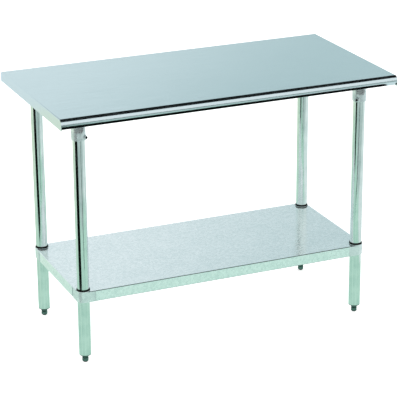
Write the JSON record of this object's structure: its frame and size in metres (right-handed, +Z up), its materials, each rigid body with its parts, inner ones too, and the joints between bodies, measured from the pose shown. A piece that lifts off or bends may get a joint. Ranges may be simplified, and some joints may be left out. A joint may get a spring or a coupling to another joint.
{
  "type": "work table",
  "caption": "Stainless work table with rolled rims, galvanised tube legs, an undershelf that clamps to the legs, and levelling feet.",
  "frame": {"origin": "on the floor, under the middle of the top", "axes": "+X along the length towards the right end, +Y towards the rear rim, +Z up"},
  "size_m": [1.2192, 0.635, 0.9017],
  "materials": {
    "stainless_top": "fine lengthwise brushed grain, satin",
    "galvanised_sheet": "hot-dip zinc coat with a small spangle, semi-matt",
    "galvanised_tube": "smooth zinc coat, shiny",
    "cast_clamp": "as cast, tumbled",
    "plated_foot": "dark zinc plate",
    "screw_steel": "black oxide",
    "nylon_pad": "moulded, matt"
  },
  "bodies": {
    "root": {"worktop": "stainless_top", "top_cross_channel_left": "galvanised_sheet", "top_cross_channel_right": "galvanised_sheet", "top_long_channel": "galvanised_sheet", "leg_front_left": "galvanised_tube", "leg_socket_front_left": "cast_clamp", "socket_set_screw_front_left": "screw_steel", "foot_insert_front_left": "plated_foot", "leg_front_right": "galvanised_tube", "leg_socket_front_right": "cast_clamp", "socket_set_screw_front_right": "screw_steel", "foot_insert_front_right": "plated_foot", "leg_rear_right": "galvanised_tube", "leg_socket_rear_right": "cast_clamp", "socket_set_screw_rear_right": "screw_steel", "foot_insert_rear_right": "plated_foot", "leg_rear_left": "galvanised_tube", "leg_socket_rear_left": "cast_clamp", "socket_set_screw_rear_left": "screw_steel", "foot_insert_rear_left": "plated_foot"},
    "shelf": {"shelf_pan": "galvanised_sheet", "shelf_channel": "galvanised_sheet", "shelf_bracket_front_left": "cast_clamp", "bracket_set_screw_front_left": "screw_steel", "shelf_bracket_front_right": "cast_clamp", "bracket_set_screw_front_right": "screw_steel", "shelf_bracket_rear_right": "cast_clamp", "bracket_set_screw_rear_right": "screw_steel", "shelf_bracket_rear_left": "cast_clamp", "bracket_set_screw_rear_left": "screw_steel"},
    "glide_front_left": {"foot_glide_front_left": "nylon_pad"},
    "screw_front_left": {"foot_screw_front_left": "plated_foot"},
    "glide_front_right": {"foot_glide_front_right": "nylon_pad"},
    "screw_front_right": {"foot_screw_front_right": "plated_foot"},
    "glide_rear_right": {"foot_glide_rear_right": "nylon_pad"},
    "screw_rear_right": {"foot_screw_rear_right": "plated_foot"},
    "glide_rear_left": {"foot_glide_rear_left": "nylon_pad"},
    "screw_rear_left": {"foot_screw_rear_left": "plated_foot"}
  },
  "joints": [
    {"name": "shelf_height", "type": "slide", "parent": "root", "child": "shelf", "axis": [0, 0, 1], "range_m": [-0.15, 0.4]},
    {"name": "foot_travel_front_left", "type": "slide", "parent": "root", "child": "glide_front_left", "axis": [0, 0, -1], "range_m": [-0.0012, 0.025]},
    {"name": "foot_turn_front_left", "type": "hinge", "parent": "glide_front_left", "child": "screw_front_left", "pos_m": [-0.5175, -0.216, 0.01], "axis": [0, 0, -1], "continuous": true},
    {"name": "foot_travel_front_right", "type": "slide", "parent": "root", "child": "glide_front_right", "axis": [0, 0, -1], "range_m": [-0.0012, 0.025]},
    {"name": "foot_turn_front_right", "type": "hinge", "parent": "glide_front_right", "child": "screw_front_right", "pos_m": [0.5175, -0.216, 0.01], "axis": [0, 0, -1], "continuous": true},
    {"name": "foot_travel_rear_right", "type": "slide", "parent": "root", "child": "glide_rear_right", "axis": [0, 0, -1], "range_m": [-0.0012, 0.025]},
    {"name": "foot_turn_rear_right", "type": "hinge", "parent": "glide_rear_right", "child": "screw_rear_right", "pos_m": [0.5175, 0.216, 0.01], "axis": [0, 0, -1], "continuous": true},
    {"name": "foot_travel_rear_left", "type": "slide", "parent": "root", "child": "glide_rear_left", "axis": [0, 0, -1], "range_m": [-0.0012, 0.025]},
    {"name": "foot_turn_rear_left", "type": "hinge", "parent": "glide_rear_left", "child": "screw_rear_left", "pos_m": [-0.5175, 0.216, 0.01], "axis": [0, 0, -1], "continuous": true}
  ],
  "couplings": [
    {"joint": "foot_turn_front_left", "follows": "foot_travel_front_left", "rad_per_m": 3215.8},
    {"joint": "foot_turn_front_right", "follows": "foot_travel_front_right", "rad_per_m": 3215.8},
    {"joint": "foot_turn_rear_right", "follows": "foot_travel_rear_right", "rad_per_m": 3215.8},
    {"joint": "foot_turn_rear_left", "follows": "foot_travel_rear_left", "rad_per_m": 3215.8}
  ]
}
